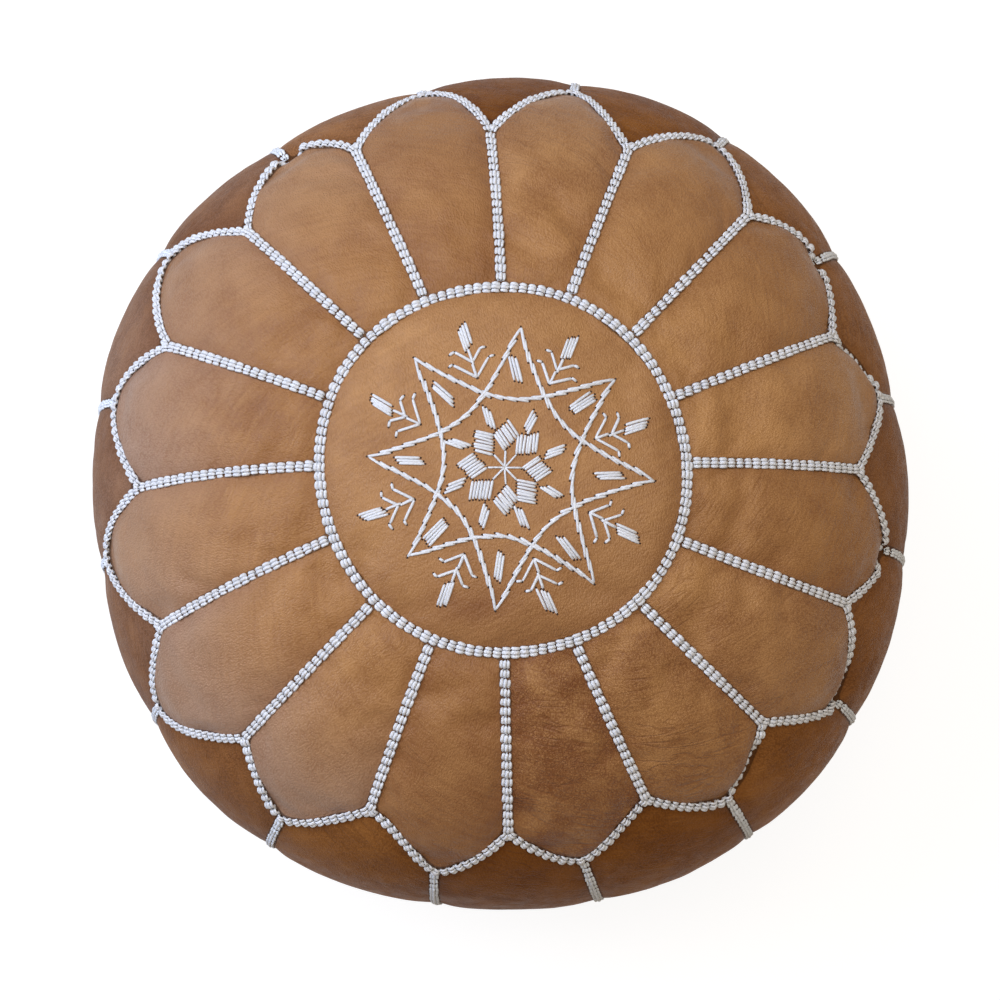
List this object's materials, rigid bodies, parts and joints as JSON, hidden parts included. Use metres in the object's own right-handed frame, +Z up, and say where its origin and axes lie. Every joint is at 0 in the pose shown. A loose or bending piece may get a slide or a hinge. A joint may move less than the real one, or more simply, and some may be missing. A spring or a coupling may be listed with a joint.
{
  "type": "moroccan leather pouf",
  "caption": "Low round stuffed footstool of tan leather petals and side panels, joined by white embroidered seams, with a star worked on the top and a zip across the base.",
  "frame": {"origin": "on the floor under the middle of the pouf, at the bottom centre of its bounding box", "axes": "+Z up through the middle of the embroidered top; +X along the base zip, towards the end where its slider rests when closed; +Y away from the viewer, towards the picture's upper edge"},
  "size_m": [0.5398, 0.5398, 0.3311],
  "materials": {
    "top_leather": "tan goatskin, fine grain, soft satin sheen",
    "side_leather": "tan goatskin, a little darker, soft satin sheen",
    "white_thread": "white twisted thread, slight sheen",
    "zip_tape": "brown woven tape",
    "zip_metal": "satin brass",
    "cotton_bag": "plain cotton cloth",
    "cotton_filling": "packed cotton and cloth waste"
  },
  "bodies": {
    "pouf": {"top_medallion": "top_leather", "petal_01": "top_leather", "petal_02": "top_leather", "petal_03": "top_leather", "petal_04": "top_leather", "petal_05": "top_leather", "petal_06": "top_leather", "petal_07": "top_leather", "petal_08": "top_leather", "petal_09": "top_leather", "petal_10": "top_leather", "petal_11": "top_leather", "petal_12": "top_leather", "petal_13": "top_leather", "petal_14": "top_leather", "petal_15": "top_leather", "petal_16": "top_leather", "side_panel_01": "side_leather", "side_panel_02": "side_leather", "side_panel_03": "side_leather", "side_panel_04": "side_leather", "side_panel_05": "side_leather", "side_panel_06": "side_leather", "side_panel_07": "side_leather", "side_panel_08": "side_leather", "side_panel_09": "side_leather", "side_panel_10": "side_leather", "side_panel_11": "side_leather", "side_panel_12": "side_leather", "side_panel_13": "side_leather", "side_panel_14": "side_leather", "side_panel_15": "side_leather", "side_panel_16": "side_leather", "base_half_front": "side_leather", "base_half_back": "side_leather", "ring_seam": "white_thread", "petal_seams": "white_thread", "petal_edge_seams": "white_thread", "side_seams": "white_thread", "base_seam": "white_thread", "star_embroidery": "white_thread", "rosette_embroidery": "white_thread", "sprig_embroidery": "white_thread", "zip_tape_front": "zip_tape", "zip_tape_back": "zip_tape", "zip_teeth_front": "zip_metal", "zip_teeth_back": "zip_metal", "zip_stops": "zip_metal", "inner_bag": "cotton_bag", "filling": "cotton_filling"},
    "zip_slider": {"zip_slider": "zip_metal"},
    "zip_pull": {"zip_pull": "zip_metal"}
  },
  "joints": [
    {"name": "zip_slider_slide", "type": "slide", "parent": "pouf", "child": "zip_slider", "axis": [-1, 0, 0], "range_m": [0, 0.3], "deforming": ["zip_teeth_front", "zip_teeth_back"]},
    {"name": "zip_pull_swing", "type": "hinge", "parent": "zip_slider", "child": "zip_pull", "pos_m": [0.1565, 0, 0.0049], "axis": [0, -1, 0], "range_deg": [-8, 170]}
  ]
}
